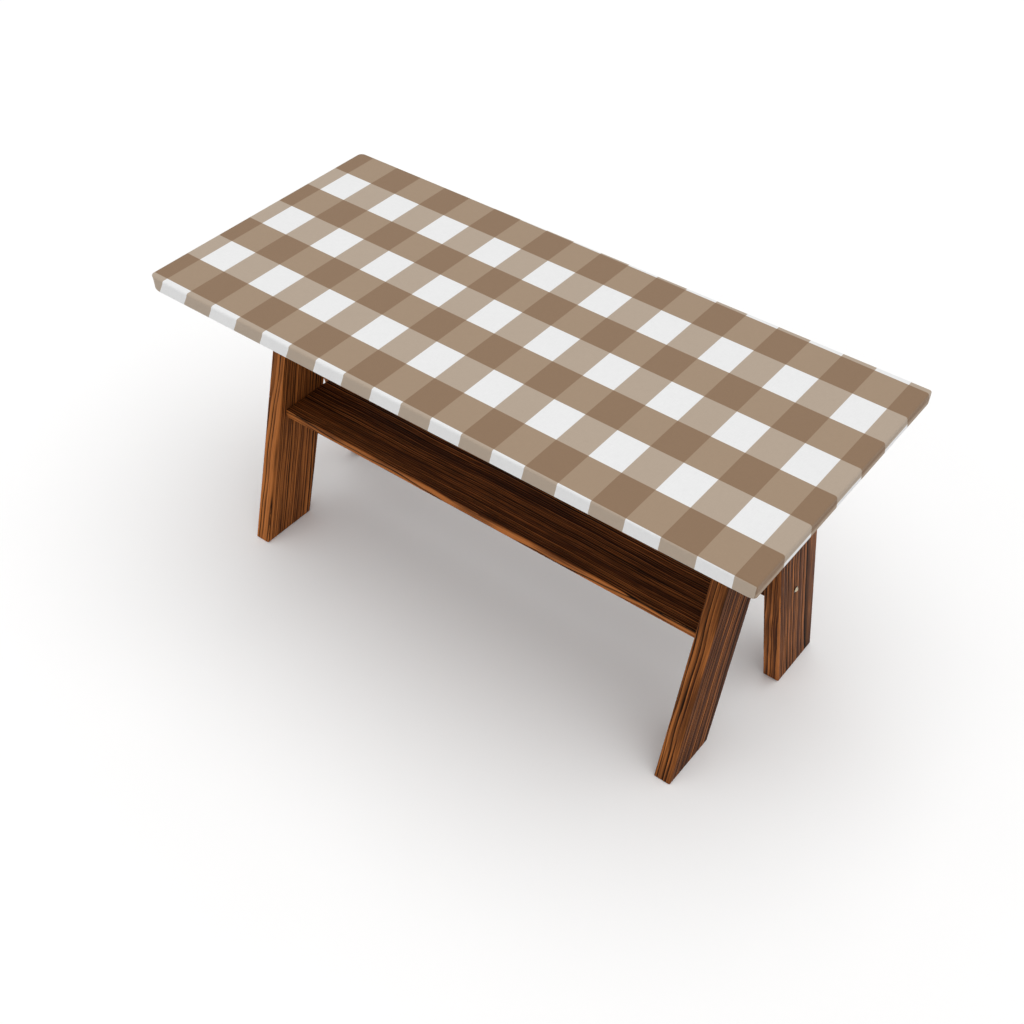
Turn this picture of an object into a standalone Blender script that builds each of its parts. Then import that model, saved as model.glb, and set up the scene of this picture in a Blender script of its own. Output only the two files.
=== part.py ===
"""A slatted picnic table under a fitted, elastic-edged checked tablecloth.

Frame: +X along the table, +Y across it, +Z up, origin on the floor under the
middle of the top. The table stands on two A-frame trestles, each of two legs
lapped side by side and bolted, and the trestles carry a low shelf. The cloth
is a fitted cover: a panel drawn over the top, with a hem that turns under the
boards and holds an elastic band.
"""

import math

import bmesh
import bpy
import numpy as np
from mathutils import Matrix, Vector

# Clearance left between two pieces that touch.
GAP = 0.0003

# The covered top.
TABLE_LENGTH = 1.500
TABLE_WIDTH = 0.680
TABLE_HEIGHT = 0.750

# The fitted cloth.
CLOTH = 0.0015
COVER_CORNER = 0.022
COVER_ARRIS = 0.010
CORNER_STEPS = 5
HEM_WIDTH = 0.050
HEM_CORNER = 0.036
ELASTIC_WIDTH = 0.008
ELASTIC_THICK = 0.002
STITCH_MARGIN = 0.004

# The boards of the top.
BOARD_COUNT = 5
BOARD_THICK = 0.033
BOARD_SPACING = 0.004
BOARD_EASE = COVER_ARRIS - CLOTH

# The trestles: each leg is a sawn plank, and the two laps meet on one plane.
LEG_THICK = 0.040
LAP_PLANE = 0.611
FOOT_INNER = 0.120
FOOT_OUTER = 0.272
LEG_LEAN = 0.26
TIMBER_EASE = 0.003
SHARP_EDGE = math.radians(60)

# The bearers that clamp each trestle and carry the boards.
BEARER_THICK = 0.036
BEARER_HEIGHT = 0.060
BEARER_HALF = 0.280
BEARER_TAPER = 0.030

# The shelf and what carries it.
SHELF_TOP = 0.355
SHELF_THICK = 0.022
SHELF_HALF = 0.160
SHELF_SPLIT = 0.002
RAIL_HEIGHT = 0.050
RAIL_FRONT = 0.095
RAIL_BACK = 0.150
SPACER_START = 0.075

# The fixings.
BOLT_RADIUS = 0.004
BOLT_HEAD_RADIUS = 0.008
BOLT_HEAD_HEIGHT = 0.0045
NUT_RADIUS = 0.0075
NUT_HEIGHT = 0.0065
APEX_BOLT_Y = 0.030
APEX_BOLT_BELOW_TOP = 0.030
SHELF_BOLT_Y = 0.103
COACH_SCREW_Y = -0.070
SHELF_BOLT_BELOW_RAIL_TOP = 0.015
TURNED_STEPS = 12
SCREW_RADIUS = 0.0025
SCREW_HEAD_RADIUS = 0.0050
SCREW_HEAD_HEIGHT = 0.0028
SCREW_IN_BOARD = 0.020
SCREW_STEPS = 8
COACH_SCREW_LENGTH = 0.062

# The two ends of the table by the side of the YZ plane that they stand on.
END_NAMES = {1: "right", -1: "left"}

# Heights and planes that follow from the sizes above.
BOARD_TOP = TABLE_HEIGHT - CLOTH - GAP
BOARD_BOTTOM = BOARD_TOP - BOARD_THICK
FRAME_TOP = BOARD_BOTTOM - GAP
BOARDS_LENGTH = TABLE_LENGTH - 2 * (CLOTH + GAP)
BOARDS_WIDTH = TABLE_WIDTH - 2 * (CLOTH + GAP)
BOARD_WIDTH = (BOARDS_WIDTH - (BOARD_COUNT - 1) * BOARD_SPACING) / BOARD_COUNT
NEAR_LEG_X = (LAP_PLANE - GAP / 2 - LEG_THICK, LAP_PLANE - GAP / 2)
FAR_LEG_X = (LAP_PLANE + GAP / 2, LAP_PLANE + GAP / 2 + LEG_THICK)
INNER_BEARER_X = (NEAR_LEG_X[0] - GAP - BEARER_THICK, NEAR_LEG_X[0] - GAP)
OUTER_BEARER_X = (FAR_LEG_X[1] + GAP, FAR_LEG_X[1] + GAP + BEARER_THICK)
SPACER_X = (NEAR_LEG_X[0], FAR_LEG_X[0] - GAP)
RAIL_TOP = SHELF_TOP - SHELF_THICK - GAP
APEX_BOLT_Z = FRAME_TOP - APEX_BOLT_BELOW_TOP
SHELF_BOLT_Z = RAIL_TOP - SHELF_BOLT_BELOW_RAIL_TOP

# Linear colours: charred pine, checked cloth, white elastic and zinc.
WOOD = ("charred_pine", (0.098, 0.048, 0.024), 0.62, 0.0)
WOOD_TOP = ("charred_pine_top", (0.110, 0.055, 0.028), 0.62, 0.0)
CHECK = ("checked_cloth", (0.42, 0.33, 0.25), 0.85, 0.0)
ELASTIC = ("white_elastic", (0.78, 0.76, 0.72), 0.80, 0.0)
ZINC = ("zinc_plate", (0.55, 0.54, 0.50), 0.35, 1.0)


def clear_scene():
    """Remove every object that the scene starts with."""
    for item in list(bpy.data.objects):
        bpy.data.objects.remove(item, do_unlink=True)


def material(spec):
    """Return the Principled material of one (name, colour, roughness, metallic)."""
    name, colour, roughness, metallic = spec
    made = bpy.data.materials.get(name)
    if made is None:
        made = bpy.data.materials.new(name)
        made.use_nodes = True
        shader = made.node_tree.nodes["Principled BSDF"]
        shader.inputs["Base Color"].default_value = (*colour, 1.0)
        shader.inputs["Roughness"].default_value = roughness
        shader.inputs["Metallic"].default_value = metallic
    return made


def add_object(name, mesh, spec):
    """Link a mesh as one named sub-part with its own copy of a material."""
    item = bpy.data.objects.new(name, mesh)
    bpy.context.scene.collection.objects.link(item)
    own = material(spec).copy()
    own.name = name + "_" + spec[0]
    mesh.materials.append(own)
    return item


def mesh_from_bmesh(name, shape):
    """Write a bmesh out as a mesh whose faces point outwards."""
    bmesh.ops.recalc_face_normals(shape, faces=shape.faces)
    mesh = bpy.data.meshes.new(name)
    shape.to_mesh(mesh)
    shape.free()
    return mesh


def prism(name, outline, travel, spec, ease):
    """Extrude a closed outline of points along a vector and ease its sharp edges."""
    shape = bmesh.new()
    face = shape.faces.new([shape.verts.new(point) for point in outline])
    grown = bmesh.ops.extrude_face_region(shape, geom=[face])
    moved = [part for part in grown["geom"] if isinstance(part, bmesh.types.BMVert)]
    bmesh.ops.translate(shape, verts=moved, vec=travel)
    sharp = [edge for edge in shape.edges if edge.calc_face_angle(0) > SHARP_EDGE]
    bmesh.ops.bevel(shape, geom=sharp, offset=ease, segments=2, profile=0.5,
                    affect="EDGES", clamp_overlap=True)
    return add_object(name, mesh_from_bmesh(name, shape), spec)


def timber(name, outline, x_range):
    """A piece of the frame: a (y, z) outline with thickness along X and eased edges."""
    low, high = sorted(x_range)
    points = [(low, y, z) for y, z in outline]
    return prism(name, points, (high - low, 0, 0), WOOD, TIMBER_EASE)


def plank(name, x_range, y_range, z_range):
    """A straight board of the frame."""
    (y0, y1), (z0, z1) = y_range, z_range
    return timber(name, [(y0, z0), (y1, z0), (y1, z1), (y0, z1)], x_range)


def mirrored(x_range, side):
    """The same stretch of X on the right (side 1) or the left (side -1)."""
    return tuple(sorted(side * x for x in x_range))


def rounded_ring(inset, z, corner):
    """One horizontal loop round the table: a rectangle with arcs for corners."""
    half_x = TABLE_LENGTH / 2 - inset - corner
    half_y = TABLE_WIDTH / 2 - inset - corner
    loop = []
    for quarter, (sx, sy) in enumerate(((1, 1), (-1, 1), (-1, -1), (1, -1))):
        for step in range(CORNER_STEPS + 1):
            angle = math.pi / 2 * (quarter + step / CORNER_STEPS)
            loop.append((sx * half_x + corner * math.cos(angle),
                         sy * half_y + corner * math.sin(angle), z))
    return loop


def ring_stack(name, rings, spec, closed):
    """Join loops of equal length into one shell, capped unless it is closed on itself."""
    shape = bmesh.new()
    loops = [[shape.verts.new(point) for point in ring] for ring in rings]
    pairs = list(zip(loops, loops[1:]))
    if closed:
        pairs.append((loops[-1], loops[0]))
    else:
        shape.faces.new(loops[0])
        shape.faces.new(loops[-1])
    for first, second in pairs:
        count = len(first)
        for index in range(count):
            after = (index + 1) % count
            shape.faces.new((first[index], first[after], second[after], second[index]))
    item = add_object(name, mesh_from_bmesh(name, shape), spec)
    item.data.shade_smooth()
    item.data.set_sharp_from_angle(angle=math.radians(50))
    return item


def arris_rings(inset, radius, top):
    """Loops up a rounded edge, from the vertical side to the level face."""
    rings = []
    for step in range(CORNER_STEPS + 1):
        turn = math.pi / 2 * step / CORNER_STEPS
        inwards = inset + radius * (1 - math.cos(turn))
        corner = max(COVER_CORNER - inwards, GAP)
        rings.append(rounded_ring(inwards, top - radius * (1 - math.sin(turn)), corner))
    return rings


def turned(name, profile, steps):
    """The mesh of a solid of revolution from (radius, along) points, on the axis at both ends."""
    shape = bmesh.new()
    start = shape.verts.new((0, 0, profile[0][1]))
    finish = shape.verts.new((0, 0, profile[-1][1]))
    loops = []
    for radius, along in profile[1:-1]:
        angles = [2 * math.pi * step / steps for step in range(steps)]
        loops.append([shape.verts.new((radius * math.cos(a), radius * math.sin(a), along))
                      for a in angles])
    for index in range(steps):
        after = (index + 1) % steps
        shape.faces.new((start, loops[0][after], loops[0][index]))
        for first, second in zip(loops, loops[1:]):
            shape.faces.new((first[index], first[after], second[after], second[index]))
        shape.faces.new((finish, loops[-1][index], loops[-1][after]))
    return fixing_mesh(name, shape)


def nut(name):
    """The mesh of a hexagonal nut whose hole clears the bolt."""
    flat = NUT_RADIUS * math.cos(math.pi / 6)
    bore = BOLT_RADIUS + GAP
    shape = bmesh.new()
    loops = []
    for along, corner, middle in ((0, NUT_RADIUS, flat), (NUT_HEIGHT, NUT_RADIUS, flat),
                                  (NUT_HEIGHT, bore, bore), (0, bore, bore)):
        loop = []
        for step in range(TURNED_STEPS):
            angle = 2 * math.pi * step / TURNED_STEPS
            radius = corner if step % 2 == 0 else middle
            loop.append(shape.verts.new((radius * math.cos(angle), radius * math.sin(angle), along)))
        loops.append(loop)
    for first, second in zip(loops, loops[1:] + loops[:1]):
        for index in range(TURNED_STEPS):
            after = (index + 1) % TURNED_STEPS
            shape.faces.new((first[index], first[after], second[after], second[index]))
    return fixing_mesh(name, shape)


def fixing_mesh(name, shape):
    """Finish the shared mesh of a kind of fixing: zinc, smooth, with its corners kept sharp."""
    mesh = mesh_from_bmesh(name, shape)
    mesh.materials.append(material(ZINC))
    mesh.shade_smooth()
    mesh.set_sharp_from_angle(angle=math.radians(35))
    return mesh


def fit(name, mesh, place, direction):
    """Set a fixing in the model, its own Z turned to a direction."""
    item = bpy.data.objects.new(name, mesh)
    bpy.context.scene.collection.objects.link(item)
    item.location = place
    item.rotation_mode = "QUATERNION"
    item.rotation_quaternion = Vector((0, 0, 1)).rotation_difference(Vector(direction))
    return item


def domed_profile(head_radius, head_height, shank_radius, shank_length):
    """A domed head that stands on z = 0 and a shank that runs down from it."""
    dome = [(head_radius * math.sin(turn), head_height * math.cos(turn))
            for turn in np.linspace(0, math.pi / 2, 4)]
    return dome + [(shank_radius, 0), (shank_radius, -shank_length), (0, -shank_length)]


def drill(items, holes, radius, steps):
    """Cut round holes, each from a start to an end point, through every item."""
    shape = bmesh.new()
    for start, end in holes:
        way = Vector(end) - Vector(start)
        turn = Vector((0, 0, 1)).rotation_difference(way.normalized()).to_matrix().to_4x4()
        place = Matrix.Translation((Vector(start) + Vector(end)) / 2) @ turn
        bmesh.ops.create_cone(shape, cap_ends=True, segments=steps, radius1=radius,
                              radius2=radius, depth=way.length, matrix=place)
    mesh = mesh_from_bmesh("drill", shape)
    cutter = bpy.data.objects.new("drill", mesh)
    bpy.context.scene.collection.objects.link(cutter)
    cutter.hide_render = True
    cutter.display_type = "WIRE"
    for item in items:
        cut = item.modifiers.new("drilled", "BOOLEAN")
        cut.operation = "DIFFERENCE"
        cut.solver = "EXACT"
        cut.object = cutter


def board_outline(y0, y1):
    """A board's plan, with a round corner wherever it meets a corner of the top."""
    half_x = BOARDS_LENGTH / 2
    round_corner = COVER_CORNER - CLOTH
    points = []
    for quarter, (sx, y) in enumerate(((1, y1), (-1, y1), (-1, y0), (1, y0))):
        if abs(y) < BOARDS_WIDTH / 2 - GAP:
            points.append((sx * half_x, y, BOARD_BOTTOM))
            continue
        centre_y = y - math.copysign(round_corner, y)
        for step in range(CORNER_STEPS + 1):
            angle = math.pi / 2 * (quarter + step / CORNER_STEPS)
            points.append((sx * (half_x - round_corner) + round_corner * math.cos(angle),
                           centre_y + round_corner * math.sin(angle), BOARD_BOTTOM))
    return points


def top_boards():
    """The boards of the top, front to back."""
    boards = []
    for index in range(BOARD_COUNT):
        y0 = -BOARDS_WIDTH / 2 + index * (BOARD_WIDTH + BOARD_SPACING)
        outline = board_outline(y0, y0 + BOARD_WIDTH)
        boards.append(prism(f"top_board_{index + 1}", outline, (0, 0, BOARD_THICK), WOOD_TOP,
                            BOARD_EASE))
    return boards


def leg(name, x_range, front):
    """A leaning leg, cut level at the floor and under the boards."""
    side = -1 if front else 1
    rise = LEG_LEAN * FRAME_TOP
    outline = [(side * FOOT_OUTER, 0), (side * FOOT_INNER, 0),
               (side * (FOOT_INNER - rise), FRAME_TOP), (side * (FOOT_OUTER - rise), FRAME_TOP)]
    return timber(name, outline, x_range)


def bearer(name, x_range):
    """A cross bearer under the boards, with its lower corners cut away."""
    low = FRAME_TOP - BEARER_HEIGHT
    waist = FRAME_TOP - BEARER_HEIGHT / 2
    outline = [(-BEARER_HALF + BEARER_TAPER, low), (BEARER_HALF - BEARER_TAPER, low),
               (BEARER_HALF, waist), (BEARER_HALF, FRAME_TOP),
               (-BEARER_HALF, FRAME_TOP), (-BEARER_HALF, waist)]
    return timber(name, outline, x_range)


def trestle(side, end):
    """One trestle: two lapped legs, the bearers that clamp them, and the shelf's rail."""
    legs = [leg(f"leg_{end}_front", mirrored(NEAR_LEG_X, side), True),
            leg(f"leg_{end}_back", mirrored(FAR_LEG_X, side), False)]
    bearers = [bearer(f"bearer_{end}_inner", mirrored(INNER_BEARER_X, side)),
               bearer(f"bearer_{end}_outer", mirrored(OUTER_BEARER_X, side))]
    heights = (RAIL_TOP - RAIL_HEIGHT, RAIL_TOP)
    rail = plank(f"shelf_rail_{end}", mirrored(INNER_BEARER_X, side), (-RAIL_FRONT, RAIL_BACK), heights)
    spacer = plank(f"shelf_spacer_{end}", mirrored(SPACER_X, side), (SPACER_START, RAIL_BACK), heights)
    return legs, bearers, rail, spacer


def shelf():
    """Two shelf boards that rest on the rails and end at the plane of the front legs."""
    z_range = (SHELF_TOP - SHELF_THICK, SHELF_TOP)
    reach = NEAR_LEG_X[0] - GAP
    plank("shelf_board_front", (-reach, reach), (-SHELF_HALF, -SHELF_SPLIT), z_range)
    plank("shelf_board_back", (-reach, reach), (SHELF_SPLIT, SHELF_HALF), z_range)


def bolt_run(x_start, x_end, y, z, side):
    """The start and end points of a hole along X, a little longer than the timber."""
    over = 0.002
    return ((side * (x_start - over), y, z), (side * (x_end + over), y, z))


def apex_fixings(parts):
    """Two carriage bolts through the bearers and lapped legs of each trestle."""
    head_x = OUTER_BEARER_X[1] + GAP
    nut_x = INNER_BEARER_X[0] - GAP
    length = head_x - nut_x + NUT_HEIGHT + 2 * GAP
    profile = domed_profile(BOLT_HEAD_RADIUS, BOLT_HEAD_HEIGHT, BOLT_RADIUS, length)
    bolt_mesh = turned("apex_bolt", profile, TURNED_STEPS)
    nut_mesh = nut("apex_nut")
    for side, (legs, bearers, _, _) in parts.items():
        end = END_NAMES[side]
        holes = []
        for row, y in (("front", -APEX_BOLT_Y), ("back", APEX_BOLT_Y)):
            head = (side * head_x, y, APEX_BOLT_Z)
            fit(f"apex_bolt_{end}_{row}", bolt_mesh, head, (side, 0, 0))
            fit(f"apex_nut_{end}_{row}", nut_mesh, (side * nut_x, y, APEX_BOLT_Z), (-side, 0, 0))
            holes.append(bolt_run(INNER_BEARER_X[0], OUTER_BEARER_X[1], y, APEX_BOLT_Z, side))
        drill(legs + bearers, holes, BOLT_RADIUS + GAP, TURNED_STEPS)


def shelf_fixings(parts):
    """A bolt through each back leg, spacer and rail, and a coach screw into each front leg."""
    head_x = FAR_LEG_X[1] + GAP
    nut_x = INNER_BEARER_X[0] - GAP
    length = head_x - nut_x + NUT_HEIGHT + 2 * GAP
    head_sizes = (BOLT_HEAD_RADIUS, BOLT_HEAD_HEIGHT, BOLT_RADIUS)
    bolt_mesh = turned("shelf_bolt", domed_profile(*head_sizes, length), TURNED_STEPS)
    screw_mesh = turned("coach_screw", domed_profile(*head_sizes, COACH_SCREW_LENGTH), TURNED_STEPS)
    nut_mesh = nut("shelf_nut")
    hole = BOLT_RADIUS + GAP
    for side, (legs, _, rail, spacer) in parts.items():
        end = END_NAMES[side]
        front, back = legs
        head = (side * head_x, SHELF_BOLT_Y, SHELF_BOLT_Z)
        inside = (side * nut_x, SHELF_BOLT_Y, SHELF_BOLT_Z)
        fit(f"shelf_bolt_{end}", bolt_mesh, head, (side, 0, 0))
        fit(f"shelf_nut_{end}", nut_mesh, inside, (-side, 0, 0))
        inside = (side * nut_x, COACH_SCREW_Y, SHELF_BOLT_Z)
        fit(f"shelf_coach_screw_{end}", screw_mesh, inside, (-side, 0, 0))
        through = bolt_run(INNER_BEARER_X[0], FAR_LEG_X[1], SHELF_BOLT_Y, SHELF_BOLT_Z, side)
        drill([back, spacer, rail], [through], hole, TURNED_STEPS)
        blind = bolt_run(INNER_BEARER_X[0], nut_x + COACH_SCREW_LENGTH, COACH_SCREW_Y,
                         SHELF_BOLT_Z, side)
        drill([front, rail], [blind], hole, TURNED_STEPS)


def board_screws(boards, parts):
    """One screw up through each bearer into each board."""
    head_z = FRAME_TOP - BEARER_HEIGHT - GAP
    length = BEARER_HEIGHT + 2 * GAP + SCREW_IN_BOARD
    profile = domed_profile(SCREW_HEAD_RADIUS, SCREW_HEAD_HEIGHT, SCREW_RADIUS, length)
    screw_mesh = turned("board_screw", profile, SCREW_STEPS)
    # The outermost screws move in to where the bearers still have their full height.
    reach = BEARER_HALF - BEARER_TAPER - 2 * SCREW_HEAD_RADIUS
    pitch = BOARD_WIDTH + BOARD_SPACING
    rows = [(index - (BOARD_COUNT - 1) / 2) * pitch for index in range(BOARD_COUNT)]
    rows = [max(-reach, min(reach, y)) for y in rows]
    for side, (_, bearers, _, _) in parts.items():
        places = (("inner", INNER_BEARER_X), ("outer", OUTER_BEARER_X))
        for (row, x_range), item in zip(places, bearers):
            x = side * sum(x_range) / 2
            holes = []
            for index, y in enumerate(rows):
                name = f"board_screw_{END_NAMES[side]}_{row}_{index + 1}"
                fit(name, screw_mesh, (x, y, head_z), (0, 0, -1))
                holes.append(((x, y, head_z - GAP), (x, y, head_z + length + GAP)))
            drill([item] + boards, holes, SCREW_RADIUS + GAP, SCREW_STEPS)


def cover_panel():
    """The printed panel: the level top, its rounded edge and the short drop, as one shell."""
    outside = [rounded_ring(0, BOARD_BOTTOM, COVER_CORNER)]
    outside += arris_rings(0, COVER_ARRIS, TABLE_HEIGHT)
    inside = [rounded_ring(CLOTH, BOARD_BOTTOM, COVER_CORNER - CLOTH)]
    inside += arris_rings(CLOTH, COVER_ARRIS - CLOTH, TABLE_HEIGHT - CLOTH)
    return ring_stack("cover_panel", outside[::-1] + inside, CHECK, closed=False)


def hem_corner(inset):
    """The hem's corner opens out as the elastic draws it inwards."""
    return COVER_CORNER + (HEM_CORNER - COVER_CORNER) * inset / HEM_WIDTH


def hem_and_elastic():
    """The hem turned under the boards, folded back round an elastic band."""
    top = FRAME_TOP
    under = top - CLOTH
    tunnel = under - ELASTIC_THICK - 2 * GAP
    fold = HEM_WIDTH - CLOTH
    back = fold - ELASTIC_WIDTH - 2 * GAP - STITCH_MARGIN
    section = [(0, top), (HEM_WIDTH, top), (HEM_WIDTH, tunnel - CLOTH), (back, tunnel - CLOTH),
               (back, tunnel), (fold, tunnel), (fold, under), (0, under)]
    rings = [rounded_ring(inset, z, hem_corner(inset)) for inset, z in section]
    ring_stack("hem_casing", rings, CHECK, closed=True)
    outer, inner = fold - GAP - ELASTIC_WIDTH, fold - GAP
    high, low = under - GAP, under - GAP - ELASTIC_THICK
    section = [(outer, high), (inner, high), (inner, low), (outer, low)]
    rings = [rounded_ring(inset, z, hem_corner(inset)) for inset, z in section]
    ring_stack("hem_elastic", rings, ELASTIC, closed=True)


def build():
    """Make the table, then the cloth on it."""
    clear_scene()
    boards = top_boards()
    parts = {side: trestle(side, end) for side, end in END_NAMES.items()}
    shelf()
    apex_fixings(parts)
    shelf_fixings(parts)
    board_screws(boards, parts)
    cover_panel()
    hem_and_elastic()


build()
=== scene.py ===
"""Looks for a picnic table under a fitted, elastic-edged checked tablecloth."""

import math

import bmesh
import bpy
import numpy as np
from mathutils import Matrix, Vector


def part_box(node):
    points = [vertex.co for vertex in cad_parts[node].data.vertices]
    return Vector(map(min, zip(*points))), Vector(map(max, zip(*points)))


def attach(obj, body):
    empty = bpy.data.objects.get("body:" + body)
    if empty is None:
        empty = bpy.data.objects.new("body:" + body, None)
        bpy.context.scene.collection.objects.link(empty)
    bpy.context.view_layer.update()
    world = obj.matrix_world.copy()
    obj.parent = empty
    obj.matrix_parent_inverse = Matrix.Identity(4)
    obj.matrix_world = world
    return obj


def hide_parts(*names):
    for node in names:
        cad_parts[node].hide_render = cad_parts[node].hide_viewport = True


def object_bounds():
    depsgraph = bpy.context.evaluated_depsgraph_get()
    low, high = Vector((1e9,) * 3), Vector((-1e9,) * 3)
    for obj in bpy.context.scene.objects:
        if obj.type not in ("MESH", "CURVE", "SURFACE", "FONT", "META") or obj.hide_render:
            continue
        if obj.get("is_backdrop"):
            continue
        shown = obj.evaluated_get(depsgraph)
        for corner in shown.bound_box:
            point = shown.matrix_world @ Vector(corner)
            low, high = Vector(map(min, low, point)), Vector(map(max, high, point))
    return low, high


bl_info = {
    "name": "Picnic table with fitted tablecloth",
    "version": (1, 0, 0),
    "blender": (4, 5, 0),
    "location": "3D View > Sidebar > Picnic table",
    "description": "Builds the checked cloth, charred timber, fixings and stage",
    "category": "Object",
}

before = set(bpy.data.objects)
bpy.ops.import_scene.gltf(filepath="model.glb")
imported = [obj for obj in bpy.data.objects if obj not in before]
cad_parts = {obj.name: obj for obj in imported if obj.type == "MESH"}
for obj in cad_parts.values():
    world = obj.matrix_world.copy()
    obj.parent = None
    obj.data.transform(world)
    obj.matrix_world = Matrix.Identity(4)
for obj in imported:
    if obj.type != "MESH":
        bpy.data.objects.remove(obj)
CAD_LOW, CAD_HIGH = (list(corner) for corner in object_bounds())

# The cover's outside: half its length and width, and its top.
HALF_X = CAD_HIGH[0]
HALF_Y = CAD_HIGH[1]
TOP_Z = CAD_HIGH[2]
BOARD_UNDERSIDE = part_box("top_board_1")[0].z

# The four sides of the cover: its direction along the side, then outwards.
SIDES = (((1, 0), (0, -1)), ((0, 1), (1, 0)), ((-1, 0), (0, 1)), ((0, -1), (-1, 0)))
RIGHT_SIDE = 1
LEFT_SIDE = 3
TURN = 2 * math.pi

# Grid lines from a corner of the flat top inwards, then the widest step.
CORNER_LINES = np.array([0, 0.75, 1.5, 2.25, 3, 4.5, 6, 8, 10, 12]) / 1000
TOP_STEP = 0.0095
# Plan radius of the corners: of the flat top, of the drop's upper edge and of its lower edge.
FLAT_CORNER = {"left": 0.012, "right": 0.003}
DROP_CORNER = {"left": 0.021, "right": 0.0042}
ROLL_CORNER = {"left": 0.024, "right": 0.0075}
# Rings of the grid round the top edge, down the drop and round the bottom roll.
ARRIS_RINGS = 7
DROP_RINGS = 28
ROLL_RINGS = 8

# Creases along the ends of the drop: share of the drop, width, depth, wave along the side.
END_CREASES = ((0.05, 0.050, -0.00035, 0.41), (0.17, 0.038, 0.00110, 0.63),
               (0.27, 0.040, -0.00045, 0.52), (0.37, 0.032, 0.00095, 0.47))
# Cloth that the creases take up at each end.
END_TUCK = 0.0125
# How far the hem pulls the checks off square down the drop, at each side's first and last end.
DROP_SKEW = ((0.0135, 0.0008), (-0.0008, -0.0130), (0.0060, 0.0030), (-0.0030, -0.0060))

# The cloth's outside stands this far inside the CAD cover, and hangs this far below the boards.
DROP_INSET = 0.0003
CLOTH_BELOW = 0.0017
# The cloth's lap on the hem: where the two meet, where the lap ends, and its corners' radius.
LAP_INSET = 0.008
LAP_END = 0.012
LAP_CORNER = 0.024
# How far a corner's seam stands inside the drop, and the radius of its thread.
SEAM_INSET = 0.0006
SEAM_RADIUS = 0.00045

# The hem: its inner edge's inset and corner radius, how far a corner reaches along a side,
# the step of its grid and the thickness of its cloth.
HEM_REACH = 0.050
HEM_CORNER = 0.036
HEM_TURN = 0.016
HEM_STEP = 0.0025
HEM_THICKNESS = 0.0006
# The hem's folded section: inset from the cover's side, and height from the boards' underside.
HEM_PATH = (
    (0.0080, -0.0006), (0.0100, -0.0007), (0.0120, -0.0009), (0.0140, -0.0014),
    (0.0165, -0.0019), (0.0200, -0.0022), (0.0240, -0.0025), (0.0285, -0.0029),
    (0.0330, -0.0033), (0.0355, -0.0034), (0.0370, -0.0031), (0.0385, -0.0036),
    (0.0410, -0.0045), (0.0440, -0.0050), (0.0470, -0.0050), (0.0492, -0.0044),
    (0.0502, -0.0032), (0.0500, -0.0018), (0.0485, -0.0009), (0.0455, -0.0006),
    (0.0420, -0.0006), (0.0385, -0.0008), (0.0360, -0.0010),
)
# The rows of stitches as (inset, height), and the length of a stitch with its gap.
STITCH_ROWS = ((0.037, -0.0034), (0.0105, -0.0019))
STITCH_STEP = 0.0045
# The flat elastic inside the hem.
ELASTIC_INSET = 0.0455
ELASTIC_HALF_WIDTH = 0.0036
ELASTIC_HALF_THICK = 0.0006
ELASTIC_DROP = 0.0027
ELASTIC_SIDES = 16
ELASTIC_STEP = 0.0045

# The weave: pitch of the threads across and along, the soft edge of a stripe, and where the
# first dyed column ends.
WARP_PITCH = 0.00115
WEFT_PITCH = 0.00105
STRIPE_EDGE = 0.0005
FIRST_COLUMN_END = -0.70625

# A plank's number sets its grain. These are the first ones of the legs, shelf and frame.
LEG_PLANKS = 3
SHELF_PLANKS = 11
FRAME_PLANKS = 20
# The angle in radians between the pith places of one plank and the next.
PITH_TURN = 2.39996
# Widest steps of a carved plank's grid, across and along it, and how deep its edges are chipped.
CARVE_ACROSS = 0.0011
CARVE_ALONG = 0.0045
CHIP_DEPTH = 0.00045
# How much darker each leg is painted, partly as char and partly as painted light and shade: a value
# above nought darkens a leg, one below nought lightens it.
LEG_CHAR_AND_PAINTED_LIGHT = {("left", "front"): -0.34, ("left", "back"): 0.06,
            ("right", "front"): 0.14, ("right", "back"): 0.02}

# A bolt's domed head, its plain shank and the points round it.
HEAD_DOME = 0.0045
SHANK_RADIUS = 0.0039
BOLT_SIDES = 36

# The floor's half size and drop, the two lights, and the camera's place, aim and lens.
FLOOR_HALF = 9.0
FLOOR_DROP = 0.0005
KEY_PLACE = (-1.9, -3.1, 2.9)
KEY_TARGET = (0, 0, 0.4)
KEY_SIZE = 2.2
KEY_COLOUR = (1.0, 0.985, 0.96)
OVERHEAD_AIM = (-0.16, 0.02, -1.0)
OVERHEAD_SPREAD = 75
CAMERA_PLACE = (1.38934, -1.88273, 2.43043)
CAMERA_TURN = -36.8062
CAMERA_TILT = 43.1472
CAMERA_ROLL = 0.9817
CAMERA_LENS = 48.99463
SENSOR_WIDTH = 36.0


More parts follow.
